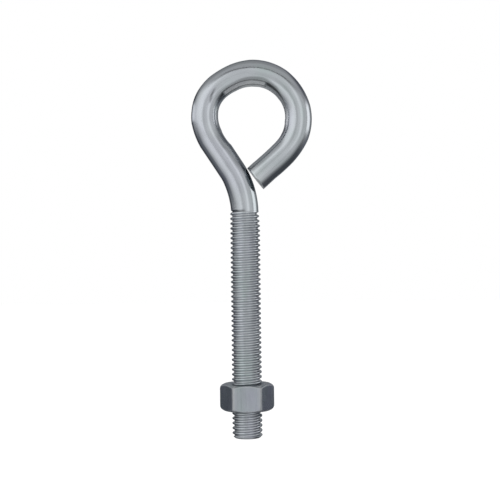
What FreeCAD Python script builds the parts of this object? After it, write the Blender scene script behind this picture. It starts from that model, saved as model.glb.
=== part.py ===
import FreeCAD, Part
import math
import os
import Sketcher

# Eye bolt: one round rod with a threaded shank, bent into an open eye, and its hexagon nut.
# Millimetres. +Z runs up the shank to the eye. The origin is the centre of the shank's flat
# tip, on the thread axis. The eye lies in the XZ plane, with its free end on the +X side.

SIZES = {
    # bent rod, in the order in which its bends follow from the tip
    "rod_diameter": (7.0, "round rod, as drawn and plated"),
    "shank_length": (57.8, "straight stretch, tip to neck bend"),
    "neck_radius": (20.3, "neck bend, to the rod's centre line"),
    "neck_angle": (33.0, "lean of the leg from the shank"),
    "leg_length": (9.5, "straight leg under the eye"),
    "heel_radius": (10.2, "eye bend next to the leg"),
    "heel_angle": (82.5, "turn of that bend"),
    "crown_radius": (16.6, "eye bend over the top"),
    "crown_angle": (15.0, "turn of that bend"),
    "side_radius": (11.8, "eye bend down the free side"),
    "free_end_angle": (48.1, "lean of the free end from the shank"),
    "mouth_gap": (0.1, "free end's corner to the leg"),
    # rolled thread on the shank
    "thread_diameter": (7.85, "over the crests"),
    "thread_pitch": (1.25, "one turn"),
    "thread_length": (58.05, "tip to the last full turn"),
    "tip_diameter": (6.5, "flat at the tip, inside the lead chamfer"),
    # hexagon nut
    "nut_width": (12.3, "across the flats"),
    "nut_height": (6.8, "face to face"),
    "nut_corner_radius": (0.8, "worn edge between two flats"),
    "nut_face_diameter": (11.9, "bearing face, inside the corner chamfer"),
    "nut_chamfer_angle": (30.0, "slope of the corner chamfer"),
    "nut_countersink": (0.4, "depth of the lead-in at each end of the bore"),
    "nut_clearance": (0.08, "thread crests to the bore, all round"),
    "nut_turns_from_tip": (5.7, "turns of thread that show below the nut"),
}

# A sketch numbers the points of a line or arc from 1 up, and its own axes from -1 down.
START, END, CENTRE = range(1, 4)
X_AXIS, Y_AXIS = range(-1, -3, -1)
ORIGIN = (X_AXIS, START)
UP = FreeCAD.Vector(0, 0, 1)


def size(name):
    return SIZES[name][0]


def add_sheet(doc):
    """The driving dimensions, one row each: name, value, what it measures."""
    sheet = doc.addObject("Spreadsheet::Sheet", "Sizes")
    for row, (name, (value, meaning)) in enumerate(SIZES.items(), start=1):
        sheet.set(f"A{row}", name)
        sheet.set(f"B{row}", str(value))
        sheet.setAlias(f"B{row}", name)
        sheet.set(f"C{row}", meaning)
    doc.recompute()


def add_sketch(body, name, plane):
    sketch = body.newObject("Sketcher::SketchObject", name)
    sketch.AttachmentSupport = next(f for f in body.Origin.OriginFeatures if f.Role == plane)
    sketch.MapMode = "FlatFace"
    return sketch


def bind(sketch, name, expression, *constraint):
    """Add a dimension to the sketch and tie it to the sheet."""
    index = sketch.addConstraint(Sketcher.Constraint(*constraint))
    sketch.renameConstraint(index, name)
    sketch.setExpression("Constraints." + name, expression)


def fix(sketch, *constraint):
    sketch.addConstraint(Sketcher.Constraint(*constraint))


def polar(length, degrees):
    angle = math.radians(degrees)
    return FreeCAD.Vector(length * math.cos(angle), length * math.sin(angle), 0)


class BentLine:
    """A chain of tangent straights and bends in a sketch, fed as a rod bender feeds them."""

    def __init__(self, sketch, heading):
        self.sketch = sketch
        self.point = FreeCAD.Vector()
        self.heading = heading
        self.open_end = None

    def join(self, element, start, end):
        if self.open_end is None:
            fix(self.sketch, "Coincident", element, start, *ORIGIN)
        else:
            fix(self.sketch, "Tangent", *self.open_end, element, start)
        self.open_end = (element, end)

    def straight(self, length):
        end = self.point + polar(length, self.heading)
        element = self.sketch.addGeometry(Part.LineSegment(self.point, end), False)
        self.join(element, START, END)
        self.point = end
        return element

    def bend(self, name, radius, turn):
        """Turn left for a positive angle and right for a negative one."""
        side = math.copysign(90, turn)
        centre = self.point + polar(radius, self.heading + side)
        arc_from = self.heading - side
        arc_to = arc_from + turn
        circle = Part.Circle(centre, UP, radius)
        limits = sorted((math.radians(arc_from), math.radians(arc_to)))
        element = self.sketch.addGeometry(Part.ArcOfCircle(circle, *limits), False)
        self.join(element, *((START, END) if turn > 0 else (END, START)))
        bind(self.sketch, name + "_radius", f"Sizes.{name}_radius", "Radius", element, radius)
        self.point = centre + polar(radius, arc_to)
        self.heading += turn
        return element


def add_centre_line(body):
    """The rod's centre line: shank, neck bend, leg, three bends round the eye, free end."""
    sketch = add_sketch(body, "CentreLine", "XZ_Plane")
    radius = size("rod_diameter") / 2
    side_turn = math.degrees(math.pi) + size("neck_angle") + size("free_end_angle")
    side_turn -= size("heel_angle") + size("crown_angle")

    line = BentLine(sketch, heading=90)
    shank = line.straight(size("shank_length"))
    neck = line.bend("neck", size("neck_radius"), size("neck_angle"))
    leg_start = line.point
    leg = line.straight(size("leg_length"))
    heel = line.bend("heel", size("heel_radius"), -size("heel_angle"))
    crown = line.bend("crown", size("crown_radius"), -size("crown_angle"))
    side = line.bend("side", size("side_radius"), -side_turn)

    # The free end stops where its corner is the mouth gap away from the leg's surface.
    leg_normal = polar(1, size("neck_angle"))
    to_corner = polar(radius, line.heading - 90)
    clear = radius + size("mouth_gap")
    reach = (line.point + to_corner - leg_start).dot(leg_normal) - clear
    free_end = line.straight(-reach / polar(1, line.heading).dot(leg_normal))
    corner = line.point + to_corner
    foot = leg_start + leg_normal * clear
    cut = sketch.addGeometry(Part.LineSegment(line.point, corner), True)
    gap = sketch.addGeometry(Part.LineSegment(leg_start, foot), True)
    level = sketch.addGeometry(Part.LineSegment(foot, corner), True)

    fix(sketch, "Vertical", shank)
    bind(sketch, "shank", "Sizes.shank_length", "Distance", shank, size("shank_length"))
    bind(sketch, "leg", "Sizes.leg_length", "Distance", leg, size("leg_length"))
    for name, arc in (("neck", neck), ("heel", heel), ("crown", crown)):
        sweep = math.radians(size(name + "_angle"))
        bind(sketch, name + "_turn", f"Sizes.{name}_angle * 1 deg", "Angle", arc, sweep)
    rest = "180 + Sizes.neck_angle + Sizes.free_end_angle - Sizes.heel_angle - Sizes.crown_angle"
    bind(sketch, "side_turn", f"({rest}) * 1 deg", "Angle", side, math.radians(side_turn))

    fix(sketch, "Coincident", cut, START, free_end, END)
    fix(sketch, "Perpendicular", cut, free_end)
    bind(sketch, "cut", "Sizes.rod_diameter / 2", "Distance", cut, radius)
    fix(sketch, "Coincident", gap, START, leg, START)
    fix(sketch, "Perpendicular", gap, leg)
    bind(sketch, "gap", "Sizes.rod_diameter / 2 + Sizes.mouth_gap", "Distance", gap, clear)
    fix(sketch, "Coincident", level, START, gap, END)
    fix(sketch, "Coincident", level, END, cut, END)
    fix(sketch, "Parallel", level, leg)
    return sketch


def add_outline(sketch, corners):
    """Draw a closed outline of straight lines through named corners.

    Each corner is two expressions, measured from the sketch's origin. None puts it on the axis.
    """
    step = 360 / len(corners)
    points = [polar(1, 45 + step * n) for n in range(len(corners))]
    lines = []
    for start, end in zip(points, points[1:] + points[:1]):
        lines.append(sketch.addGeometry(Part.LineSegment(start, end), False))
    for line, following in zip(lines, lines[1:] + lines[:1]):
        fix(sketch, "Coincident", line, END, following, START)
    for line, point, (name, (across, up)) in zip(lines, points, corners.items()):
        for kind, axis, rough, expression in (
            ("DistanceX", Y_AXIS, point.x, across),
            ("DistanceY", X_AXIS, point.y, up),
        ):
            if expression is None:
                fix(sketch, "PointOnObject", line, START, axis)
            else:
                bind(sketch, name + kind[-1], expression, kind, *ORIGIN, line, START, rough)


def revolve(body, kind, name, outline):
    """Turn an outline right round the body's own upright axis."""
    feature = body.newObject("PartDesign::" + kind, name)
    feature.Profile = outline
    feature.ReferenceAxis = (outline, ["V_Axis"])
    feature.Angle = 360
    return feature


def make_eye_bolt(doc):
    """The rod swept along its centre line, and the thread's envelope turned on its shank."""
    body = doc.addObject("PartDesign::Body", "EyeBolt")
    body.Label = "eye_bolt"
    centre_line = add_centre_line(body)

    section = add_sketch(body, "RodSection", "XY_Plane")
    circle = section.addGeometry(Part.Circle(FreeCAD.Vector(), UP, size("rod_diameter") / 2), False)
    fix(section, "Coincident", circle, CENTRE, *ORIGIN)
    bind(section, "rod", "Sizes.rod_diameter", "Diameter", circle, size("rod_diameter"))
    rod = body.newObject("PartDesign::AdditivePipe", "BentRod")
    rod.Profile = section
    rod.Spine = centre_line

    thread = add_sketch(body, "ThreadOutline", "XZ_Plane")
    crest = "Sizes.thread_diameter / 2"
    add_outline(thread, {
        "foot": (None, None),
        "tip": ("Sizes.tip_diameter / 2", None),
        "lead": (crest, "(Sizes.thread_diameter - Sizes.tip_diameter) / 2"),
        "last_turn": (crest, "Sizes.thread_length"),
        "run_out": (None, f"Sizes.thread_length + {crest}"),
    })
    revolve(body, "Revolution", "ThreadedShank", thread)
    return body


def make_hex_nut(doc):
    """A hexagon with worn edges, its corners turned down at both ends, bored and countersunk."""
    body = doc.addObject("PartDesign::Body", "HexNut")
    body.Label = "hex_nut"

    hexagon = add_sketch(body, "Hexagon", "XY_Plane")
    radius = size("nut_width") / (2 * math.cos(math.radians(30)))
    points = [polar(radius, 60 * n) for n in range(7)]
    guide = hexagon.addGeometry(Part.Circle(FreeCAD.Vector(), UP, radius), True)
    fix(hexagon, "Coincident", guide, CENTRE, *ORIGIN)
    across = "Sizes.nut_width / cos(30 deg)"
    bind(hexagon, "corners", across, "Diameter", guide, 2 * radius)
    sides = []
    for start, end in zip(points, points[1:]):
        sides.append(hexagon.addGeometry(Part.LineSegment(start, end), False))
        fix(hexagon, "PointOnObject", sides[-1], START, guide)
    for side, following in zip(sides, sides[1:] + sides[:1]):
        fix(hexagon, "Coincident", side, END, following, START)
    for side in sides[1:]:
        fix(hexagon, "Equal", sides[0], side)
    fix(hexagon, "PointOnObject", sides[0], START, X_AXIS)
    prism = body.newObject("PartDesign::Pad", "HexagonPrism")
    prism.Profile = hexagon
    prism.setExpression("Length", "Sizes.nut_height")
    doc.recompute()

    edges = enumerate(prism.Shape.Edges, start=1)
    upright = [f"Edge{n}" for n, edge in edges if abs(edge.tangentAt(edge.FirstParameter).z) > 0.99]
    worn = body.newObject("PartDesign::Fillet", "WornEdges")
    worn.Base = (prism, upright)
    worn.setExpression("Radius", "Sizes.nut_corner_radius")

    face = "Sizes.nut_face_diameter / 2"
    outside = "Sizes.nut_width"
    drop = f"({outside} - {face}) * tan(Sizes.nut_chamfer_angle * 1 deg)"
    for name, level, sign in (("Lower", None, ""), ("Upper", "Sizes.nut_height", "Sizes.nut_height - ")):
        chamfer = add_sketch(body, name + "ChamferOutline", "XZ_Plane")
        add_outline(chamfer, {
            "inner": (face, level),
            "outer": (outside, level),
            "slope": (outside, sign + drop),
        })
        revolve(body, "Groove", name + "Chamfer", chamfer)

    bore = add_sketch(body, "BoreOutline", "XZ_Plane")
    wall = "Sizes.thread_diameter / 2 + Sizes.nut_clearance"
    mouth = wall + " + Sizes.nut_countersink"
    add_outline(bore, {
        "foot": (None, None),
        "lower_mouth": (mouth, None),
        "lower_wall": (wall, "Sizes.nut_countersink"),
        "upper_wall": (wall, "Sizes.nut_height - Sizes.nut_countersink"),
        "upper_mouth": (mouth, "Sizes.nut_height"),
        "top": (None, "Sizes.nut_height"),
    })
    revolve(body, "Groove", "Bore", bore)
    body.setExpression("Placement.Base.z", "Sizes.nut_turns_from_tip * Sizes.thread_pitch")
    return body


def check(doc):
    for item in doc.Objects:
        bad = [state for state in item.State if state in ("Invalid", "Error")]
        if bad:
            raise RuntimeError(f"{item.Label}: {bad}")
    for body in doc.findObjects("PartDesign::Body"):
        if body.Shape.isNull() or not body.Shape.isValid():
            raise RuntimeError(f"{body.Label}: the solid isn't sound")


def main():
    doc = FreeCAD.newDocument("EyeBoltModel")
    add_sheet(doc)
    bodies = [make_eye_bolt(doc), make_hex_nut(doc)]
    doc.recompute()
    check(doc)
    os.makedirs("parts", exist_ok=True)
    for body in bodies:
        body.Shape.exportStep(f"parts/{body.Label}.step")


main()
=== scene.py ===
"""Looks of an eye bolt: a bent and threaded rod, and its hexagon nut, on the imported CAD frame."""

import math

import bpy
from bpy.props import FloatProperty, FloatVectorProperty, IntProperty, PointerProperty
from bpy.types import Operator, Panel, PropertyGroup
from mathutils import Matrix, Vector, noise


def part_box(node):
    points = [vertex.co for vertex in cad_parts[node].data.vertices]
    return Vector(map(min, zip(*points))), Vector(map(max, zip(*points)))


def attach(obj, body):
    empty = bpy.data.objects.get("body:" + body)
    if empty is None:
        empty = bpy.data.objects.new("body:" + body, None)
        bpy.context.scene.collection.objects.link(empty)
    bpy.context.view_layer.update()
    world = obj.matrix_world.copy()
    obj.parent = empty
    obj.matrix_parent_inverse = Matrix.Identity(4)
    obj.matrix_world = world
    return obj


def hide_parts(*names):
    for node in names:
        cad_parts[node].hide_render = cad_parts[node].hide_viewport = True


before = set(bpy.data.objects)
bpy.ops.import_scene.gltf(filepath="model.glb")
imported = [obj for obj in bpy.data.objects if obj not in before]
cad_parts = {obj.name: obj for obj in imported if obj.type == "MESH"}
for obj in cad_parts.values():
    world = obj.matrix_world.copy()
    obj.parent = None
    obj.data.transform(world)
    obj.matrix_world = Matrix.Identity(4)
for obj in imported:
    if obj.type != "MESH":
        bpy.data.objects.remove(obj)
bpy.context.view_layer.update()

bl_info = {
    "name": "Eye Bolt Looks",
    "version": (1, 0, 0),
    "blender": (4, 5, 0),
    "location": "View3D > Sidebar > Eye Bolt",
    "description": "Builds the bent, threaded rod of an eye bolt and its hexagon nut",
    "category": "Add Mesh",
}

NUT_LOW, NUT_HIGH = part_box("hex_nut")

MILLIMETRE = 0.001
FULL_TURN = 2 * math.pi
SIXTH_TURN = math.pi / 3

# Directions round the rod's own axis: the side of the eye's opening, the far side, and the front
OPENING = 0.0
AWAY = math.pi
FRONT = -math.pi / 2

# How dark a surface is painted, from 0 to 1: dull deposit on the cut end and tip, darker thread
# roots, painted shade in the run-out groove and along the mark's outline, and painted dark streaks
# at the mark
# darker towards the thread's roots, on the shank and in the nut
THREAD_ROOT_DARKENING = 0.04
# painted shade in the last groove, where the thread runs out
RUN_OUT_PAINTED_SHADE = 0.75
# painted shade along the outline of the tool's mark, where its edge steps
MARK_OUTLINE_PAINTED_SHADE = 0.85
# painted dark streaks that lead into the tool's mark and out of it
MARK_STREAK_DARKNESS = 1.0
CUT_GRIME = 0.02
TIP_GRIME = 0.07

# How bright and matt rolling, pressing or handling left a surface, from 0 to 1
GROOVE_WORKED = 0.47
INSIDE_WORKED = 0.85
END_WORKED = 0.15

# How often an unevenness changes: round the rod, and in a metre along it
ROD_WAVES = (1.1, 160)
CREST_NICKS = (4, 700)
GROOVE_WAVES = (1, 900)

# Dish of the sheared tip: shares of its radius, and how far in it lies there, in millimetres
TIP_DISH = ((0.25, 0.17), (0.5, 0.14), (0.75, 0.08), (0.92, 0.02), (0.97, 0.0), (0.99, 0.02))
TIP_DISH_DEPTH = 0.18

# Rings on the cut free end, in widths of the narrow rim to which they keep its edge's shading
CUT_RINGS = (0.3, 1.0, 3.5, 7.0)

# Rubbed strokes: where each starts and ends along the rod in millimetres, on which side it starts
# and ends in degrees, and how dark it is
SCUFFS = (
    (88.4, 91.0, -75, -79, 0.55),
    (89.2, 92.9, -80, -89, 0.75),
)

# What the bending tools left on the rod, in millimetres: where it starts and ends along the rod,
# on which side, and how deep it is pressed in. A negative depth is a bulge.
TOOL_FLATS = (
    (57.0, 68.0, AWAY, -0.17),
    (75.0, 79.5, OPENING, 0.27),
    (79.0, 83.8, AWAY, 0.13),
    (80.0, 85.0, OPENING, -0.04),
    (85.8, 97.0, OPENING, 0.215),
    (86.5, 91.5, AWAY, -0.08),
    (92.0, 107.0, OPENING, 0.085),
    (94.0, 102.8, AWAY, 0.14),
    (104.5, 113.5, OPENING, 0.195),
    (111.0, 119.0, AWAY, 0.12),
    (111.0, 122.6, OPENING, 0.205),
    (122.6, 127.0, OPENING, 0.06),
    (126.5, 131.2, AWAY, 0.09),
    (131.2, 137.4, AWAY, -0.11),
    (131.2, 139.0, OPENING, 0.10),
)

# Studio panels: their middle above the bolt's tip in metres, and their meshes' steps in degrees
PANEL_CENTRE = 0.08
PANEL_STEP = 4


def length(name, millimetres, description):
    """A size of the object, given here in millimetres and kept in metres."""
    return FloatProperty(
        name=name, description=description, default=millimetres * MILLIMETRE, unit="LENGTH",
        precision=5,
    )


def angle(name, degrees, description):
    """An angle, given here in degrees and kept in radians."""
    return FloatProperty(
        name=name, description=description, default=math.radians(degrees), subtype="ANGLE"
    )


def colour(name, rgb, description):
    """A linear colour."""
    return FloatVectorProperty(
        name=name, description=description, default=rgb, subtype="COLOR", size=3, min=0, max=1
    )


def count(name, number, description):
    """How many of something."""
    return IntProperty(name=name, description=description, default=number, min=3)


def number(name, value, description):
    """A plain number, such as a share or a strength."""
    return FloatProperty(name=name, description=description, default=value)


class RodSizes(PropertyGroup):
    """The bent rod, in the order in which its bends follow from the tip."""

    diameter: length("Diameter", 6.98, "Round rod, as drawn and plated")
    shank_length: length("Shank", 57.8, "Straight stretch, tip to neck bend")
    neck_radius: length("Neck radius", 20.3, "Neck bend, to the rod's centre line")
    neck_angle: angle("Neck angle", 33.0, "Lean of the leg from the shank")
    leg_length: length("Leg", 9.5, "Straight leg under the eye")
    heel_radius: length("Heel radius", 10.2, "Eye bend next to the leg")
    heel_angle: angle("Heel angle", 82.5, "Turn of that bend")
    crown_radius: length("Crown radius", 16.6, "Eye bend over the top")
    crown_angle: angle("Crown angle", 15.0, "Turn of that bend")
    side_radius: length("Side radius", 11.8, "Eye bend down the free side")
    free_end_angle: angle("Free end angle", 48.1, "Lean of the free end from the shank")
    mouth_gap: length("Mouth gap", 0.05, "Free end's corner to the leg")
    end_rim: length("End rim", 0.22, "Rim on which the edge of the cut free end is shaded")
    end_thinning: length("End thinning", 0.12, "How much thinner the rod is past the last bend")
    cut_lean: angle("Cut lean", 4.5, "How far the cut of the free end is from square")
    press: number("Press", 1.0, "How strongly the bending tools changed the rod, 0 for not at all")
    mark_start: length("Forming mark", 93.4, "Where the bending tool's mark starts, along the rod")
    mark_length: length("Mark length", 14.6, "Length of that mark round the inside of the eye")
    mark_side: angle("Mark side", 51.0, "Middle of the mark, from the front towards the opening")
    mark_width: angle("Mark width", 28.0, "Share of the rod's round that the mark flattens")
    mark_outline: angle("Mark outline", 6.0, "Width round the rod of the mark's dark outline")
    mark_press: length("Mark press", 0.10, "How far the mark is pressed in, beyond a flat")
    # the mark's lead and tail are painted dark streaks along the rod
    mark_lead: length("Mark lead", 6.0, "Length of the scratch that leads into the mark")
    mark_tail: length("Mark tail", 12.0, "Length of the scratch that it ends in")
    crest_nick: length("Crest nicks", 0.08, "Depth of the small dents along the thread")
    dip: length("Unevenness", 0.012, "Slow rise and fall of the drawn and bent surface")
    step: length("Step", 0.5, "Distance between the mesh's rings in the bends")
    around: count("Faces around", 96, "Faces round the rod and its thread")


class ThreadSizes(PropertyGroup):
    """The rolled thread on the shank, and its twin inside the nut."""

    diameter: length("Diameter", 7.75, "Over the crests")
    pitch: length("Pitch", 1.25, "One turn")
    taper: length("Taper", 0.05, "How much lower the crests are at the eye's end")
    length: length("Length", 58.05, "Tip to the last full turn")
    run_out: length("Run-out", 0.8, "Stretch over which the crests get lower towards the last one")
    stretch: length("Stretch", 0.24, "How much lower the neck bend left the crests on its outside")
    groove_end: length("Groove end", 57.86, "How far the groove is rolled, without its phase")
    droop: length("Droop", 0.3, "How far the last groove bends back while it fades")
    fade: length("Fade", 0.25, "How far the last groove climbs while it fades")
    tip_diameter: length("Tip diameter", 6.5, "Flat at the tip, inside the lead chamfer")
    tip_edge: length("Tip edge", 0.04, "Broken edge round that flat")
    phase: number("Phase", 0.52, "Share of a turn by which the crests stand above the tip")
    nut_gap: length("Nut gap", 0.05, "Bolt's thread to the nut's thread")


class NutSizes(PropertyGroup):
    """The hexagon nut. Its place and height come from the CAD node."""

    width: length("Width", 12.3, "Across the flats")
    corner_radius: length("Corner radius", 0.8, "Rounded corner between two flats")
    face_diameter: length("Face diameter", 11.9, "Bearing face, inside the corner chamfer")
    chamfer_angle: angle("Chamfer angle", 30.0, "Slope of the corner chamfer")
    bore_diameter: length("Bore diameter", 6.65, "Inside the crests of the nut's thread")
    countersink: length("Countersink", 0.48, "Lead-in at each end, beyond the bolt's crests")
    lip: length("Lip", 0.05, "Broken edge round each countersink")
    edge_rounding: length("Edge rounding", 0.08, "Plated edge between a chamfer and what it meets")
    rim_rounding: length("Rim rounding", 1.05, "Where the chamfer meets the two roundest corners")


class FinishColours(PropertyGroup):
    """Bright zinc plating: its tones, how much it scatters, and its fine relief."""

    rod_tone: colour("Rod", (0.478, 0.508, 0.536), "Zinc on the drawn rod")
    rod_green: colour("Rod, greenish", (0.45, 0.503, 0.513), "Where the passivation looks greenish")
    rod_blue: colour("Rod, bluish", (0.482, 0.503, 0.552), "Where the passivation looks bluish")
    nut_tone: colour("Nut", (0.37, 0.403, 0.438), "Zinc on the cold-formed nut")
    nut_green: colour("Nut, greenish", (0.352, 0.408, 0.42), "Where the nut looks greenish")
    nut_blue: colour("Nut, bluish", (0.382, 0.398, 0.462), "Where the nut looks bluish")
    # this dark colour also serves as the painted shade in the run-out groove and along the mark's
    # outline
    grime_and_painted_shade: colour("Grime", (0.08, 0.085, 0.09), "Dull deposit in grooves, pits and drawing marks")
    rod_worked: colour("Rod, worked", (0.78, 0.80, 0.815), "Grooves and marks left bright")
    nut_worked: colour("Nut, worked", (0.50, 0.52, 0.54), "Edges that handling has rubbed")
    edge_tint: colour("Edge tint", (0.30, 0.31, 0.33), "Reflection at a flat angle")
    rod_roughness: number("Rod roughness", 0.18, "Average scatter of the rod's reflections")
    nut_roughness: number("Nut roughness", 0.25, "Average scatter of the nut's reflections")
    rod_grain: number("Rod grain", 60, "How often the streaks change in a metre along the rod")
    nut_grain: number("Nut grain", 160, "How often the streaks change in a metre along the nut")
    ripple: length("Ripple", 0.014, "Height of the slow ripple along the drawn rod")
    streak: length("Streak", 0.0012, "Height of the fine drawing streaks")
    grain: length("Grain", 0.0006, "Height of the plating's grain")
    pit: length("Pit", 0.008, "Depth of the small pits and dents")


class StageSettings(PropertyGroup):
    """Camera, light and ground."""

    camera_lens: number("Lens", 80.6, "Focal length in millimetres")
    camera_distance: length("Camera distance", 288, "Camera to the shank's axis")
    camera_height: length("Camera height", 48.2, "Camera above the bolt's tip")
    camera_aside: length("Camera aside", 1.18, "Camera to the right of the shank's axis")
    camera_roll: angle("Camera roll", 0.67, "Turn of the camera about its own line of sight")
    floor_drop: length("Floor drop", 250, "Floor below the bolt's tip")
    floor_lift: number("Floor lift", 0.25, "What takes the pale floor to white where it is seen")
    room_light: number("Room light", 0.75, "Even light from all round")
    lamp_light: number("Lamp light", 0.3, "Light of the soft lamp, beside that")
    lamp_size: angle("Lamp size", 8, "How wide the lamp looks, which softens the shadow")
    lamp_tilt: angle("Lamp tilt", 22, "Lamp from straight above")
    lamp_turn: angle("Lamp turn", -50, "Lamp round the object, from the front to the left")


# ---------------------------------------------------------------------------- shapes


def ease(low, high, value):
    """0 at low and 1 at high, also where high is the smaller, with a smooth change between."""
    share = min(1.0, max(0.0, (value - low) / (high - low)))
    return share * share * (3 - 2 * share)


def turned(direction):
    """An angle as -180 to 180 degrees, in radians."""
    return (direction + math.pi) % FULL_TURN - math.pi


def round_spot(radius, direction, up):
    """A point that far from the upright axis, in that direction and at that height."""
    return Vector((radius * math.cos(direction), radius * math.sin(direction), up))


def unevenness(direction, along, scales):
    """Smooth noise on a round surface, from about -1 to 1."""
    round_scale, along_scale = scales
    return noise.noise(round_spot(round_scale, direction, along * along_scale))


class RodLine:
    """The rod's centre line in the XZ plane: straights and bends, fed one after the other."""

    def __init__(self):
        self.pieces = []
        self.starts = {}
        self.length = 0.0
        self.point = Vector((0, 0))
        self.heading = math.pi / 2

    def straight(self, distance):
        """Feed a straight stretch."""
        self.add(distance, 0.0)

    def bend(self, name, radius, turn):
        """Feed a bend of that radius and angle, and note where it starts."""
        self.starts[name] = self.length
        self.add(radius * abs(turn), turn)

    def add(self, distance, turn):
        self.pieces.append((self.length, distance, turn, self.point, self.heading))
        self.length += distance
        self.point, self.heading = self.at(self.length)

    def at(self, fed):
        """The point and the heading after that much of the rod."""
        start, distance, turn, point, heading = next(
            (piece for piece in reversed(self.pieces) if piece[0] <= fed), self.pieces[0]
        )
        share = (fed - start) / distance
        chord = fed - start
        if turn and share:
            chord *= math.sin(turn * share / 2) / (turn * share / 2)
        middle = heading + turn * share / 2
        return point + chord * Vector((math.cos(middle), math.sin(middle))), heading + turn * share

    def place(self, radius, direction, fed):
        """A point of the rod's surface, from its distance along the rod and its direction."""
        point, heading = self.at(fed)
        across = radius * math.cos(direction)
        return Vector((
            point.x + across * math.sin(heading),
            radius * math.sin(direction),
            point.y - across * math.cos(heading),
        ))


def rod_line(rod):
    """The rod's centre line from the tip to the cut end."""
    line = RodLine()
    line.straight(rod.shank_length)
    line.bend("neck", rod.neck_radius, rod.neck_angle)
    leg_start = line.point
    line.straight(rod.leg_length)
    line.bend("heel", rod.heel_radius, -rod.heel_angle)
    line.bend("crown", rod.crown_radius, -rod.crown_angle)
    turn = math.pi + rod.neck_angle + rod.free_end_angle - rod.heel_angle - rod.crown_angle
    line.bend("side", rod.side_radius, -turn)

    # The free end stops where its corner is the mouth gap away from the leg's surface.
    leg_normal = Vector((math.cos(rod.neck_angle), math.sin(rod.neck_angle)))
    corner = Vector((math.sin(line.heading), -math.cos(line.heading))) * rod.diameter / 2
    clear = rod.diameter / 2 + rod.mouth_gap
    reach = (line.point + corner - leg_start).dot(leg_normal) - clear
    along = Vector((math.cos(line.heading), math.sin(line.heading)))
    line.straight(-reach / along.dot(leg_normal))
    return line


def swelling(low, high, value):
    """0 at both ends of a stretch and 1 in its middle, a little fuller than a sine."""
    fullness = 0.7
    share = (value - low) / (high - low)
    return math.sin(math.pi * share) ** fullness if 0 < share < 1 else 0.0


def pressed_depth(rod, fed, direction):
    """How far the bending tools changed the rod's surface there, with the mark in the crown."""
    depth = 0.0
    for start, end, side, middle_depth in TOOL_FLATS:
        share = swelling(start * MILLIMETRE, end * MILLIMETRE, fed)
        share *= max(0.0, math.cos(direction - side)) ** 2
        depth += rod.press * middle_depth * MILLIMETRE * share
    return depth + mark_depth(rod, fed, direction)


def off_line(direction, side):
    """The angle from a line along the rod's front, or from its mirror image on the back."""
    line = FRONT + side
    return min(abs(turned(direction - line)), abs(turned(direction + line)))


def mark_place(rod, fed, direction):
    """Where a point lies in the tool's mark, front or back: (inside it, angle from its middle)."""
    fade = 0.6 * MILLIMETRE
    inside = ease(0, fade, fed - rod.mark_start)
    inside *= ease(0, fade, rod.mark_start + rod.mark_length - fed)
    off = off_line(direction, rod.mark_side)
    if inside and off < rod.mark_width / 2:
        return inside, off
    return 0.0, rod.mark_width / 2


def mark_depth(rod, fed, direction):
    """A narrow flat with a sharp edge, pressed in a little beyond a flat."""
    inside, off = mark_place(rod, fed, direction)
    half = rod.mark_width / 2
    edge = half / 4
    flat = rod.diameter / 2 * (1 - math.cos(half) / math.cos(off))
    return inside * (flat + rod.mark_press * ease(0, edge, half - off))


def mark_painted_shade_and_streaks(rod, fed, direction):
    """Painted shade along the mark's outline and at its ends, and painted dark streaks that lead
    into and out of it.
    """
    inside, off = mark_place(rod, fed, direction)
    if inside:
        # painted shade at the mark's stepped edge and where it fades in and out
        outline = 1 - ease(0, rod.mark_outline, rod.mark_width / 2 - off)
        return MARK_OUTLINE_PAINTED_SHADE * max(outline, 1 - inside)
    before = (rod.mark_start - fed) / rod.mark_lead
    behind = (fed - rod.mark_start - rod.mark_length) / rod.mark_tail
    share = max(before, behind)
    if not 0 < share < 1:
        return 0.0

    # away from the mark a streak crosses part of its width, and gets narrower and fainter
    crossing, wide, narrower = 0.6, 2.2, 1.4
    off = off_line(direction, rod.mark_side + rod.mark_width * crossing * (share - 0.5))
    width = rod.mark_outline * (wide - narrower * share)
    return MARK_STREAK_DARKNESS * (1 - ease(width / 3, width, off)) * (1 - share ** 2)


def scuff_grime(fed, direction):
    """Dark rubbed strokes on the front of the heel bend."""
    core, edge = math.radians(1.5), math.radians(6)
    dark = 0.0
    for start, end, first_side, last_side, darkness in SCUFFS:
        share = (fed / MILLIMETRE - start) / (end - start)
        side = math.radians(first_side + (last_side - first_side) * share)
        stroke = 1 - ease(core, edge, abs(turned(direction - side)))
        dark = max(dark, darkness * stroke * swelling(0, 1, share))
    return dark


def plain_radius(rod, line, fed, direction):
    """The unthreaded rod's radius, with its unevenness and what the bending tools did to it."""
    past_neck, left = fed - line.starts["neck"], line.length - fed
    starts, full, fades = 1.5 * MILLIMETRE, 6 * MILLIMETRE, 3 * MILLIMETRE
    wave = rod.dip * unevenness(direction, fed, ROD_WAVES)
    wave *= ease(starts, full, past_neck) * ease(0, fades, left)
    thins, thinnest = 18 * MILLIMETRE, 12 * MILLIMETRE
    thinning = rod.end_thinning / 2 * ease(thins, thinnest, left)
    return rod.diameter / 2 - rod.dip - thinning + wave - pressed_depth(rod, fed, direction)


def worked_share(rod, line, fed, direction):
    """How bright and matt tools and handling left the bent rod there, from 0 to 1."""
    mark, _ = mark_place(rod, fed, direction)
    rubbed_length = 34 * MILLIMETRE
    rubbed_side, clean_side = math.radians(25), math.radians(55)
    inside = INSIDE_WORKED * swelling(rod.mark_start, rod.mark_start + rubbed_length, fed)
    inside *= 1 - ease(rubbed_side, clean_side, abs(turned(direction)))
    starts, full = 4.5 * MILLIMETRE, 1 * MILLIMETRE
    end = END_WORKED * ease(starts, full, line.length - fed)
    return max(mark, inside, end)


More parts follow.
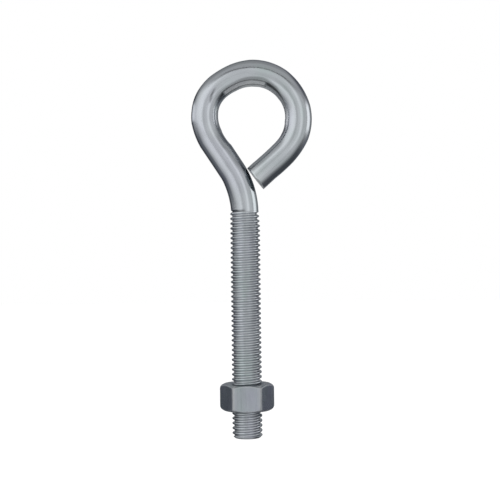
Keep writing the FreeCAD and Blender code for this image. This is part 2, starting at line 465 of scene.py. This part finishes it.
def thread_rows(thread):
    """The thread's section over one turn, from crest to crest: (share of the pitch, depth)."""
    half_crest, half_root = 0.13, 0.16
    flank_end = 0.5 - half_root
    slope = thread.pitch * math.sqrt(3)
    root_radius = half_root * thread.pitch / math.sin(math.pi / 3)
    root_centre = slope * (flank_end - half_crest) - root_radius / 2

    def root_depth(share):
        """The root is an arc into which the two flanks run."""
        aside = (0.5 - share) * thread.pitch
        return root_centre + math.sqrt(root_radius ** 2 - aside ** 2)

    # a slightly rounded crest, a flank and the root
    falling = [(0.0, 0.0), (0.07, 0.01 * MILLIMETRE), (half_crest, 0.04 * MILLIMETRE)]
    falling += [(share, slope * (share - half_crest)) for share in (0.16, 0.25, flank_end)]
    falling += [(share, root_depth(share)) for share in (0.42, 0.5)]
    return falling + [(1 - share, depth) for share, depth in reversed(falling[1:-1])]


def groove_depth(thread):
    """From the thread's crest to its root."""
    return max(depth for _, depth in thread_rows(thread))


def placed(name, data):
    """A new object in the scene."""
    item = bpy.data.objects.new(name, data)
    bpy.context.scene.collection.objects.link(item)
    return item


class Mesh:
    """Points and faces of one piece, with where each point lies on the straightened rod."""

    def __init__(self):
        self.points = []
        self.faces = []
        self.laid_out = []
        self.grime_and_painted_shade = []
        self.worked = []

    def add(self, point, laid_out, grime_and_painted_shade=0.0, worked=0.0):
        """Add a point, and give its number."""
        self.points.append(point)
        self.laid_out.append(laid_out)
        self.grime_and_painted_shade.append(grime_and_painted_shade)
        self.worked.append(worked)
        return len(self.points) - 1

    def face(self, corners):
        """Add a face, without the corners that fall together."""
        kept = [c for c, before in zip(corners, corners[-1:] + corners[:-1]) if c != before]
        if len(set(kept)) > 2:
            self.faces.append(kept)

    def band(self, lower, upper):
        """Faces between two closed rings of the same number of points."""
        for n in range(len(lower)):
            following = (n + 1) % len(lower)
            self.face([lower[n], lower[following], upper[following], upper[n]])

    def close(self, ring, centre):
        """Faces from a ring to the point in its middle."""
        for n, corner in enumerate(ring):
            self.face([corner, ring[(n + 1) % len(ring)], centre])

    def helix(self, directions, thread, surface_at, low_ring, high_ring, low, high, inward=False):
        """A grid that climbs with the thread between two flat rings, which it meets exactly.

        low and high are their heights. surface_at gives what add takes, for a height, a direction
        and a depth in the thread. inward turns the faces towards the axis.
        """
        rows = thread_rows(thread)

        # turns beyond a ring have all their points on it, and so no faces
        first = math.floor(low / thread.pitch - thread.phase) - 2
        last = math.ceil(high / thread.pitch - thread.phase) + 1
        made = {}

        def corner(row, column):
            if column == len(directions):
                row, column = row + len(rows), 0
            if (row, column) in made:
                return made[row, column]
            turn, in_turn = divmod(row, len(rows))
            share, depth = rows[in_turn]
            direction = directions[column]
            up = thread.pitch * (thread.phase + turn + share + direction / FULL_TURN)
            if up <= low:
                index = low_ring[column]
            elif up >= high:
                index = high_ring[column]
            else:
                index = self.add(*surface_at(up, direction, depth))
            made[row, column] = index
            return index

        for row in range(first * len(rows), last * len(rows)):
            for column in range(len(directions)):
                corners = [
                    corner(row, column),
                    corner(row, column + 1),
                    corner(row + 1, column + 1),
                    corner(row + 1, column),
                ]
                self.face(corners[::-1] if inward else corners)

    def build(self, name, material):
        """The piece as an object, with its grime and painted shade, and its worked places, as point
        attributes.
        """
        data = bpy.data.meshes.new(name)
        data.from_pydata([tuple(point) for point in self.points], [], self.faces)
        layer = data.attributes.new("laid_out", "FLOAT_VECTOR", "POINT")
        layer.data.foreach_set("vector", [x for place in self.laid_out for x in place])
        for label, values in (("grime_and_painted_shade", self.grime_and_painted_shade), ("worked", self.worked)):
            data.attributes.new(label, "FLOAT", "POINT").data.foreach_set("value", values)
        data.materials.append(material)
        data.shade_smooth()
        data.update()
        data.validate()
        return placed(name, data)


def crest_radius(thread, up, direction):
    """Over the crests, lower towards the eye and where the neck bend stretched them."""
    starts, full = 4.2 * MILLIMETRE, 0.2 * MILLIMETRE
    stretched = ease(starts, full, thread.length - up) * (1 + math.cos(direction)) / 2
    lowered = thread.taper * up / thread.length + thread.stretch * stretched
    return thread.diameter / 2 - lowered


def crest_nicks(rod, up, direction):
    """Depth of the small dents that the crests have here and there."""
    spared = 0.1
    return rod.crest_nick * max(0.0, unevenness(direction, up, CREST_NICKS) - spared)


def threaded_shank(rod, thread, line):
    """The surface of the threaded shank, for a height, a direction and a depth in the thread."""
    tip = thread.tip_diameter / 2
    full_depth = groove_depth(thread)
    end, fade = thread.groove_end, thread.fade
    uneven = 0.06
    shaded_pitches, drooping_fades, darkening_fade = 0.6, 1.5, 0.2
    rounding = 1e-6

    def surface_at(up, direction, depth):
        crest = crest_radius(thread, up, direction)
        turn = math.floor(up / thread.pitch - thread.phase - direction / FULL_TURN + rounding)
        wound = thread.pitch * (turn + 0.5 + direction / FULL_TURN)
        kept = 1 - ease(end - fade, end, wound)
        cut = depth * kept * (1 - uneven * unevenness(direction, up, GROOVE_WAVES))
        cut += crest_nicks(rod, up, direction)

        # the crests sink into the plain rod where the thread runs out
        raised = 1 - ease(thread.length - thread.run_out, thread.length + thread.run_out / 2, up)
        plain = plain_radius(rod, line, up, direction)
        radius = min(plain + (crest - plain) * raised, crest - cut, tip + up)

        # the last groove is painted dark as shade, bends back and fades
        share = depth / full_depth
        last = ease(end - thread.pitch * shaded_pitches, end - fade, wound)
        fading = ease(end - fade * drooping_fades, end, wound)
        grime_and_painted_shade = THREAD_ROOT_DARKENING + (RUN_OUT_PAINTED_SHADE - THREAD_ROOT_DARKENING) * last
        grime_and_painted_shade *= share ** 2 * ease(0, darkening_fade, kept)
        worked = GROOVE_WORKED * share * kept * (1 - last)
        point = line.place(radius, direction, up - thread.droop * fading * share)
        return point, round_spot(radius, direction, up), grime_and_painted_shade, worked

    return surface_at


def build_rod(rod, thread, material):
    """The whole rod as one closed skin: its tip, threaded shank, bends and cut end."""
    mesh = Mesh()
    line = rod_line(rod)
    directions = [FULL_TURN * n / rod.around for n in range(rod.around)]
    tip = thread.tip_diameter / 2

    def lean(fed, across):
        """How much longer the rod is there, because its free end isn't cut square."""
        leaning = 4 * MILLIMETRE
        near = ease(line.length - leaning, line.length, fed)
        return near * math.tan(rod.cut_lean) * (rod.diameter / 2 - across)

    def ring(fed, radius_at, grime_and_shade_at=lambda _: 0.0, dish=0.0, worked_at=lambda _: 0.0):
        made = []
        for direction in directions:
            radius = radius_at(direction)
            reach = fed + dish + lean(fed, radius * math.cos(direction))
            made.append(mesh.add(
                line.place(radius, direction, reach), round_spot(radius, direction, fed),
                grime_and_shade_at(direction), worked_at(direction),
            ))
        return made

    # flat tip, slightly dished where the rod was sheared
    middle = mesh.add(line.place(0, 0, TIP_DISH_DEPTH * MILLIMETRE), Vector((0, 0, 0)), TIP_GRIME)
    rings = [
        ring(0, lambda _, share=share: tip * share, lambda _: TIP_GRIME, dish * MILLIMETRE)
        for share, dish in TIP_DISH
    ]
    mesh.close(rings[0][::-1], middle)
    for inner, outer in zip(rings, rings[1:]):
        mesh.band(outer, inner)

    # threaded shank, up to just above the end of the last groove
    top = thread.length + thread.run_out + rod.step
    following = ring(top, lambda direction: plain_radius(rod, line, top, direction))
    shank = threaded_shank(rod, thread, line)
    mesh.helix(directions, thread, shank, rings[-1], following, thread.tip_edge, top)
    before = following

    # bent rod, with the mark's painted shade and dark streaks, and the rubbed strokes
    steps = round((line.length - top) / rod.step)
    for n in range(1, steps + 1):
        fed = top + (line.length - top) * n / steps
        following = ring(
            fed,
            lambda direction: plain_radius(rod, line, fed, direction),
            lambda direction: max(mark_painted_shade_and_streaks(rod, fed, direction), scuff_grime(fed, direction)),
            worked_at=lambda direction: worked_share(rod, line, fed, direction),
        )
        mesh.band(before, following)
        before = following

    # cut free end
    plain = plain_radius(rod, line, line.length, AWAY)
    for inset in CUT_RINGS:
        inner = plain - rod.end_rim * inset
        following = ring(line.length, lambda _: inner, lambda _: CUT_GRIME)
        mesh.band(before, following)
        before = following
    middle = line.place(0, 0, line.length + lean(line.length, 0))
    mesh.close(before, mesh.add(middle, Vector((0, 0, line.length)), CUT_GRIME))
    return mesh.build("bent_rod_and_thread", material)


def flat_half_width(nut):
    """From the middle of a flat to where its rounded corner starts."""
    return (nut.width / 2 - nut.corner_radius) * math.tan(SIXTH_TURN / 2)


def from_flat(direction):
    """The angle between a direction and the middle of the flat that lies there."""
    return abs(direction % SIXTH_TURN - SIXTH_TURN / 2)


def hexagon_directions(nut):
    """Directions round the nut, closer together at its rounded corners."""
    flat_steps, corner_steps = 12, 8
    flat_angle = math.atan2(flat_half_width(nut), nut.width / 2)
    corner_angle = SIXTH_TURN - 2 * flat_angle
    directions = []
    for side in range(6):
        start = (side + 0.5) * SIXTH_TURN - flat_angle
        directions += [start + 2 * flat_angle * n / flat_steps for n in range(flat_steps)]
        start += 2 * flat_angle
        directions += [start + corner_angle * n / corner_steps for n in range(corner_steps)]
    return directions


def hexagon_radius(nut, direction):
    """Distance from the axis to the nut's side, with its rounded corners."""
    off = from_flat(direction)
    flat = nut.width / 2
    if math.tan(off) * flat <= flat_half_width(nut):
        return flat / math.cos(off)
    centre = (flat - nut.corner_radius) / math.cos(SIXTH_TURN / 2)
    aside = SIXTH_TURN / 2 - off
    chord = math.sqrt(nut.corner_radius ** 2 - (centre * math.sin(aside)) ** 2)
    return centre * math.cos(aside) + chord


def corner_worked(nut, direction):
    """1 on the nut's rubbed corners and 0 on its flats."""
    before, behind = 0.2 * MILLIMETRE, 0.3 * MILLIMETRE
    edge = flat_half_width(nut)
    aside = math.tan(from_flat(direction)) * nut.width / 2
    return ease(edge - before, edge + behind, aside)


def chamfer_drop(nut, radius, direction):
    """How far the corner chamfer lies in from the bearing face there, with its rounded rim."""
    face = nut.face_diameter / 2
    corner = hexagon_radius(nut, 0)
    slope = math.tan(nut.chamfer_angle)
    least = 0.12
    rounding = nut.rim_rounding * (least + (1 - least) * abs(math.cos(direction)) ** 6)
    tangent = rounding * math.tan(math.pi / 4 - nut.chamfer_angle / 2)
    if radius <= corner - tangent * math.cos(nut.chamfer_angle):
        return (radius - face) * slope
    arc = math.sqrt(max(0, rounding ** 2 - (radius - corner + rounding) ** 2))
    return (corner - face) * slope + tangent - arc


def nut_section(nut, mouth, height):
    """The nut's outside from its lower countersink to its upper one: (radius, height, worked).

    The radius and worked are for a direction, and the height is for a radius and a direction.
    """
    face = nut.face_diameter / 2
    soft = nut.edge_rounding

    def side(inset=0.0):
        return lambda d: hexagon_radius(nut, d) - inset

    def chamfer(share):
        return lambda d: face + (hexagon_radius(nut, d) - face) * share

    def drop(extra=0.0):
        return lambda r, d: chamfer_drop(nut, r, d) + extra

    def rubbed(level=0.0):
        return lambda d: max(level, corner_worked(nut, d))

    half = [
        (lambda d: mouth, lambda r, d: nut.lip, rubbed(0.6)),
        (lambda d: mouth + nut.lip, lambda r, d: 0.0, rubbed(0.6)),
        (lambda d: (mouth + face) / 2, lambda r, d: 0.0, lambda d: 0.0),
        (lambda d: face - soft, lambda r, d: 0.0, lambda d: 0.0),
        (lambda d: face + soft * 0.3, lambda r, d: soft * 0.3, rubbed(0.5)),
        (chamfer(0.35), drop(), rubbed()),
        (chamfer(0.60), drop(), rubbed()),
        (chamfer(0.78), drop(), rubbed()),
        (lambda d: max(face + soft, side(soft)(d)), drop(soft * 0.1), rubbed(0.3)),
        (side(soft * 0.25), drop(soft * 0.35), rubbed(0.8)),
        (side(), drop(soft * 1.1), rubbed(0.6)),
        (side(), drop(soft * 4), rubbed()),
    ]
    middle = [(side(), lambda r, d, up=height * share: up, rubbed()) for share in (0.3, 0.5, 0.7)]
    upper = [
        (radius, lambda r, d, up=up: height - up(r, d), worked)
        for radius, up, worked in reversed(half)
    ]
    return half + middle + upper


def build_nut(thread, nut, material):
    """The nut's outside, and the twin of the bolt's thread through its bore."""
    mesh = Mesh()
    base = NUT_LOW.z
    height = NUT_HIGH.z - base
    directions = hexagon_directions(nut)
    mouth = thread.diameter / 2 + nut.countersink
    bore = nut.bore_diameter / 2
    full_depth = groove_depth(thread)

    rings = []
    for radius_at, up_at, worked_at in nut_section(nut, mouth, height):
        ring = []
        for direction in directions:
            radius = radius_at(direction)
            spot = round_spot(radius, direction, base + up_at(radius, direction))
            ring.append(mesh.add(spot, spot.copy(), 0.0, worked_at(direction)))
        rings.append(ring)
    for inner, outer in zip(rings, rings[1:]):
        mesh.band(inner, outer)

    def surface_at(up, direction, depth):
        """The bolt's thread, a gap farther out, where the bore and the countersinks leave it."""
        above = up - base
        threaded = thread.diameter / 2 + thread.nut_gap - depth
        radius = max(threaded, bore, mouth - above, mouth - (height - above))
        spot = round_spot(radius, direction, up)
        return spot, spot.copy(), THREAD_ROOT_DARKENING * (1 - depth / full_depth)

    low, high = base + nut.lip, base + height - nut.lip
    mesh.helix(directions, thread, surface_at, rings[0], rings[-1], low, high, inward=True)
    return mesh.build("hexagon_nut", material)


# ---------------------------------------------------------------------------- finishes


class NodeDesk:
    """Lays out shader nodes in rows and links them."""

    FIRST = Vector((-2200, 300))
    APART = Vector((220, -260))
    PER_ROW = 9

    # Where a mix node has its colours
    COLOURS_IN = (6, 7)
    COLOUR_OUT = 2

    def __init__(self, tree):
        self.tree = tree
        self.count = 0

    def add(self, kind, links=(), **settings):
        """A node with its settings, and its inputs by name or number as sockets or numbers."""
        node = self.tree.nodes.new("ShaderNode" + kind)
        row, column = divmod(self.count, self.PER_ROW)
        node.location = self.FIRST + self.APART * Vector((column, row))
        self.count += 1
        for key, value in settings.items():
            setattr(node, key, value)
        for socket, value in dict(links).items():
            if isinstance(value, bpy.types.NodeSocket):
                self.tree.links.new(value, node.inputs[socket])
            else:
                node.inputs[socket].default_value = value
        return node

    def noise(self, place, stretch, detail=2.0):
        """Noise whose patches are 1 / stretch metres wide, round the rod and along it."""
        across, along = stretch
        spread = self.add("Mapping", {"Vector": place, "Scale": (across, across, along)})
        cloud = self.add(
            "TexNoise", {"Vector": spread.outputs["Vector"], "Scale": 1.0, "Detail": detail}
        )
        return cloud.outputs["Fac"]

    def both(self, operation, first, second):
        """What an operation makes of two values, which are sockets or numbers."""
        return self.add("Math", {0: first, 1: second}, operation=operation).outputs["Value"]

    def sum(self, *terms):
        """The sum of sockets, each times its own number."""
        total = None
        for socket, weight in terms:
            share = self.both("MULTIPLY", socket, weight)
            total = self.both("ADD", total, share) if total else share
        return total

    def span(self, socket, low, high, to_low=0.0, to_high=1.0):
        """A value brought from one span into another, and kept inside it."""
        spans = {"From Min": low, "From Max": high, "To Min": to_low, "To Max": to_high}
        return self.add("MapRange", {"Value": socket, **spans}).outputs["Result"]

    def blend(self, share, first, second, kind="MIX"):
        """Two colours, of which the second takes that share."""
        links = {"Factor": share}
        for place, value in zip(self.COLOURS_IN, (first, second)):
            links[place] = value if isinstance(value, bpy.types.NodeSocket) else (*value, 1)
        mix = self.add("Mix", links, data_type="RGBA", blend_type=kind)
        return mix.outputs[self.COLOUR_OUT]


def new_material(name):
    """A material, and the desk for its nodes."""
    material = bpy.data.materials.new(name)
    material.use_nodes = True
    return material, NodeDesk(material.node_tree)


def zinc_plating(name, tones, finish, roughness, grain_along):
    """Bright zinc over drawn or cold-formed steel. tones: even, greenish, bluish and worked."""
    material, desk = new_material(name)
    place = desk.add("Attribute", attribute_name="laid_out").outputs["Vector"]
    grime_and_painted_shade = desk.add("Attribute", attribute_name="grime_and_painted_shade").outputs["Fac"]
    worked = desk.add("Attribute", attribute_name="worked").outputs["Fac"]

    # unevenness of several sizes, and pits where there are patches
    ripple = desk.noise(place, (420, grain_along * 1.6), 1.0)
    streaks = desk.noise(place, (1900, grain_along), 3.0)
    fine_streaks = desk.noise(place, (5200, grain_along * 3), 2.0)
    grain = desk.noise(place, (8000, 7000), 2.0)
    clouds = desk.noise(place, (150, 70), 2.0)
    patches = desk.noise(place, (330, 210), 3.0)
    spread = desk.add("Mapping", {"Vector": place, "Scale": (900, 900, 620)})
    cells = desk.add("TexVoronoi", {"Vector": spread.outputs["Vector"], "Scale": 1.0})
    pits = desk.span(cells.outputs["Distance"], 0.05, 0.16, 1.0, 0.0)
    pitted = desk.span(patches, 0.52, 0.64)
    pits = desk.both("MULTIPLY", pits, pitted)

    # tones of the passivation, then bright worked places, then pits, drawing marks, dirt and
    # painted shade darken it all
    even, greenish, bluish, worked_tone = tones
    tone = desk.blend(desk.span(clouds, 0.50, 0.66), even, bluish)
    tone = desk.blend(desk.span(clouds, 0.46, 0.34), tone, greenish)
    light = desk.sum((streaks, 0.18), (patches, 0.26), (fine_streaks, 0.12), (grain, 0.08))
    tone = desk.blend(1.0, tone, desk.span(light, 0.20, 0.44, 0.88, 1.12), "MULTIPLY")
    covered = desk.span(patches, 0.36, 0.58, 0.7, 1.0)
    rubbed = desk.both("MULTIPLY", worked, covered)
    tone = desk.blend(rubbed, tone, worked_tone)
    marks = desk.span(streaks, 0.36, 0.24, 0.0, 0.5)
    dirt_and_painted_shade = desk.sum((pits, 0.32), (marks, 0.38), (grime_and_painted_shade, 1.0))
    tone = desk.blend(desk.span(dirt_and_painted_shade, 0.0, 1.0), tone, finish.grime_and_painted_shade[:])

    # scatter, which grows with patches, dirt, painted shade and work
    scatter = desk.sum(
        (patches, 0.20), (streaks, 0.12), (dirt_and_painted_shade, 0.28), (worked, 0.58), (grain, 0.04)
    )
    scatter = desk.span(scatter, 0.10, 0.90, roughness - 0.05, roughness + 0.46)

    # relief, in millimetres
    height = desk.sum(
        (ripple, finish.ripple / MILLIMETRE),
        (streaks, finish.streak / MILLIMETRE),
        (grain, finish.grain / MILLIMETRE),
        (pits, -finish.pit / MILLIMETRE),
    )
    bump = desk.add("Bump", {"Height": height, "Strength": 1.0, "Distance": MILLIMETRE})

    shader = desk.tree.nodes["Principled BSDF"]
    shader.inputs["Metallic"].default_value = 1
    shader.inputs["Specular Tint"].default_value = (*finish.edge_tint, 1)
    desk.tree.links.new(tone, shader.inputs["Base Color"])
    desk.tree.links.new(scatter, shader.inputs["Roughness"])
    desk.tree.links.new(bump.outputs["Normal"], shader.inputs["Normal"])
    return material


# ---------------------------------------------------------------------------- stage


def add_camera(settings):
    """The camera of the photograph: level, square to the eye and a little rolled."""
    data = bpy.data.cameras.new("studio_camera")
    data.lens = settings.camera_lens
    data.sensor_width = 36
    camera = placed("studio_camera", data)
    spot = Vector((settings.camera_aside, -settings.camera_distance, settings.camera_height))
    roll = Matrix.Rotation(settings.camera_roll, 4, "Y")
    level = Matrix.Rotation(math.pi / 2, 4, "X")
    camera.matrix_world = Matrix.Translation(spot) @ roll @ level
    bpy.context.scene.camera = camera


def seen_share(desk, low, high):
    """A value that is high for camera, glossy and transmission rays, and low for all others."""
    rays = desk.add("LightPath").outputs
    seen = rays["Is Camera Ray"]
    for label in ("Is Glossy Ray", "Is Transmission Ray"):
        seen = desk.both("MAXIMUM", seen, rays[label])
    return desk.span(seen, 0.0, 1.0, low, high)


def add_world(settings):
    """White where it is seen, and softer as light on the stage."""
    world = bpy.data.worlds.new("studio_surroundings")
    bpy.context.scene.world = world
    world.use_nodes = True
    desk = NodeDesk(world.node_tree)
    background = desk.tree.nodes["Background"]
    background.inputs["Color"].default_value = (1, 1, 1, 1)
    strength = seen_share(desk, settings.room_light, 1.0)
    desk.tree.links.new(strength, background.inputs["Strength"])


def add_lamp(settings):
    """A soft lamp from above that gives the floor the object's shadow."""
    data = bpy.data.lights.new("studio_lamp", "SUN")
    data.energy = settings.lamp_light * math.pi
    data.angle = settings.lamp_size
    lamp = placed("studio_lamp", data)
    lamp.rotation_euler = (settings.lamp_tilt, 0, settings.lamp_turn)
    lamp.visible_glossy = False


def panel_material(name, level, tint):
    """A studio panel of even brightness whose edges fade out."""
    material, desk = new_material(name)
    desk.tree.nodes.clear()
    fade = desk.add("Attribute", attribute_name="fade").outputs["Fac"]
    clear = desk.add("BsdfTransparent").outputs["BSDF"]
    glow = desk.add("Emission", {"Color": (*tint, 1), "Strength": level}).outputs["Emission"]
    mix = desk.add("MixShader", {"Fac": fade, 1: clear, 2: glow})
    desk.add("OutputMaterial", {"Surface": mix.outputs["Shader"]})
    return material


def add_panel(name, sides, heights, level, distance, tint=(1, 1, 1), soft=8, slant=0.0, **edges):
    """A curved panel round the object. Angles are in degrees, from the front and from the level.

    soft is how many degrees an edge fades over, and edges says it for left, right, low or high.
    slant is how many degrees the panel climbs for each degree to the right.
    """
    data = bpy.data.meshes.new(name)
    left, right = sides
    low, high = heights
    columns = max(4, round((right - left) / PANEL_STEP))
    rows = max(4, round((high - low) / PANEL_STEP))
    points, fades = [], []
    for row in range(rows + 1):
        up = low + (high - low) * row / rows
        for column in range(columns + 1):
            side = left + (right - left) * column / columns
            across, above = math.radians(side), math.radians(up + slant * side)
            points.append((
                distance * math.sin(across) * math.cos(above),
                -distance * math.cos(across) * math.cos(above),
                distance * math.sin(above) + PANEL_CENTRE,
            ))
            rooms = {"left": side - left, "right": right - side}
            rooms |= {"low": up - low, "high": high - up}
            fades.append(math.prod(
                ease(0, edges.get(edge, soft), room) for edge, room in rooms.items() if soft
            ))
    faces = [
        (corner, corner + 1, corner + columns + 2, corner + columns + 1)
        for corner in range(rows * (columns + 1)) if corner % (columns + 1) < columns
    ]
    data.from_pydata(points, [], faces)
    data.attributes.new("fade", "FLOAT", "POINT").data.foreach_set("value", fades)
    data.materials.append(panel_material(name, level, tint))
    panel = placed(name, data)
    panel.visible_camera = False
    panel.visible_diffuse = False
    panel.visible_shadow = False


def add_panels():
    """Grey surroundings, dark cards and soft boxes that only reflections show.

    Each has its sides, its heights, its level and its distance in metres, and covers those that
    are farther away.
    """
    dusk = (0.93, 0.975, 1.09)
    add_panel("grey_round", (-180, 180), (-90, 90), 0.46, 0.320, soft=0)
    add_panel("grey_ceiling", (-100, 100), (36, 90), 0.58, 0.315)
    add_panel("grey_front", (-34, 38), (-40, 46), 0.86, 0.310, soft=12, high=4, slant=-0.2)
    add_panel("grey_front_right", (22, 78), (-42, 34), 0.76, 0.309)
    add_panel("shade_of_camera", (-26, 4), (-26, 18), 0.72, 0.308, soft=9)
    add_panel(
        "edge_of_ceiling", (-50, 50), (41, 50), 0.10, 0.307, soft=2.5, left=15, right=15, slant=-0.2
    )
    add_panel("dark_low_left", (-164, -78), (-75, -4), 0.20, 0.305, dusk, soft=14)
    add_panel("dim_right", (104, 152), (-40, -4), 0.33, 0.305, dusk, soft=10)
    add_panel("dark_low_right", (36, 160), (-78, -12), 0.10, 0.304, dusk, soft=18, left=55)
    add_panel("dark_high_right", (98, 160), (18, 50), 0.18, 0.304, dusk, soft=12)
    add_panel("softbox_behind", (146, 214), (-40, 44), 0.80, 0.303, soft=14)
    add_panel("softbox_low_left", (-94, -16), (-42, -1), 1.12, 0.3015, soft=9, left=62)
    add_panel("softbox_mid_left", (-112, -16), (-10, 10), 1.22, 0.301, soft=9, left=70)
    add_panel("softbox_left", (-134, -16), (-4, 48), 1.22, 0.300, soft=12, left=90)
    add_panel("dark_left_edge", (-156, -114), (-60, 34), 0.12, 0.2985, dusk, soft=12)
    add_panel("softbox_edge_left", (-134, -84), (0, 21), 1.2, 0.2975, soft=5, left=7, right=16)
    add_panel("strip_right", (76, 117), (-13, 26), 1.55, 0.295)
    add_panel("strip_front_right", (16, 44), (-16, 30), 1.15, 0.294)


def add_floor(settings):
    """A wide pale floor that is white where it is seen and keeps the object's shadow."""
    half = 6
    data = bpy.data.meshes.new("studio_floor")
    low = -settings.floor_drop
    data.from_pydata(
        [(-half, -half, low), (half, -half, low), (half, half, low), (-half, half, low)],
        [], [(0, 1, 2, 3)],
    )
    material, desk = new_material("pale_floor")
    shader = desk.tree.nodes["Principled BSDF"]
    shader.inputs["Base Color"].default_value = (0.8, 0.8, 0.8, 1)
    shader.inputs["Roughness"].default_value = 0.9
    shader.inputs["Specular IOR Level"].default_value = 0.1
    shader.inputs["Emission Color"].default_value = (1, 1, 1, 1)
    lift = seen_share(desk, 0.0, settings.floor_lift)
    desk.tree.links.new(lift, shader.inputs["Emission Strength"])
    data.materials.append(material)
    floor = placed("studio_floor", data)


# ---------------------------------------------------------------------------- operators


class EYEBOLT_OT_rod(Operator):
    """Build the bent rod with its rolled thread"""

    bl_idname = "eyebolt.rod"
    bl_label = "Build Rod"
    bl_options = {"REGISTER", "UNDO"}

    def execute(self, context):
        scene = context.scene
        finish = scene.eyebolt_finish
        tones = (finish.rod_tone[:], finish.rod_green[:], finish.rod_blue[:], finish.rod_worked[:])
        zinc = zinc_plating("zinc_on_rod", tones, finish, finish.rod_roughness, finish.rod_grain)
        piece = build_rod(scene.eyebolt_rod, scene.eyebolt_thread, zinc)
        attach(piece, "bolt")
        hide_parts("eye_bolt")
        return {"FINISHED"}


class EYEBOLT_OT_nut(Operator):
    """Build the hexagon nut with its thread"""

    bl_idname = "eyebolt.nut"
    bl_label = "Build Nut"
    bl_options = {"REGISTER", "UNDO"}

    def execute(self, context):
        scene = context.scene
        finish = scene.eyebolt_finish
        tones = (finish.nut_tone[:], finish.nut_green[:], finish.nut_blue[:], finish.nut_worked[:])
        zinc = zinc_plating("zinc_on_nut", tones, finish, finish.nut_roughness, finish.nut_grain)
        piece = build_nut(scene.eyebolt_thread, scene.eyebolt_nut, zinc)
        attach(piece, "nut")
        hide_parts("hex_nut")
        return {"FINISHED"}


class EYEBOLT_OT_stage(Operator):
    """Set up the world, the lamp, the panels, the floor and the camera"""

    bl_idname = "eyebolt.stage"
    bl_label = "Set Up Stage"
    bl_options = {"REGISTER", "UNDO"}

    def execute(self, context):
        scene = context.scene
        scene.view_settings.view_transform = "Standard"
        add_world(scene.eyebolt_stage)
        add_lamp(scene.eyebolt_stage)
        add_panels()
        add_floor(scene.eyebolt_stage)
        add_camera(scene.eyebolt_stage)
        return {"FINISHED"}


class EYEBOLT_PT_panel(Panel):
    """Buttons for the steps that build the eye bolt and its stage"""

    bl_label = "Eye Bolt"
    bl_idname = "EYEBOLT_PT_panel"
    bl_space_type = "VIEW_3D"
    bl_region_type = "UI"
    bl_category = "Eye Bolt"

    def draw(self, context):
        for operator in (EYEBOLT_OT_rod, EYEBOLT_OT_nut, EYEBOLT_OT_stage):
            self.layout.operator(operator.bl_idname)


GROUPS = {
    "eyebolt_rod": RodSizes,
    "eyebolt_thread": ThreadSizes,
    "eyebolt_nut": NutSizes,
    "eyebolt_finish": FinishColours,
    "eyebolt_stage": StageSettings,
}
CLASSES = (*GROUPS.values(), EYEBOLT_OT_rod, EYEBOLT_OT_nut, EYEBOLT_OT_stage, EYEBOLT_PT_panel)


def register():
    """Make the classes and the scene's settings known to Blender."""
    for item in CLASSES:
        bpy.utils.register_class(item)
    for name, group in GROUPS.items():
        setattr(bpy.types.Scene, name, PointerProperty(type=group))


def unregister():
    """Take them away again."""
    for name in GROUPS:
        delattr(bpy.types.Scene, name)
    for item in reversed(CLASSES):
        bpy.utils.unregister_class(item)


def main():
    """Build the pieces and the stage."""
    register()
    bpy.ops.eyebolt.rod()
    bpy.ops.eyebolt.nut()
    bpy.ops.eyebolt.stage()


if __name__ == "__main__":
    main()
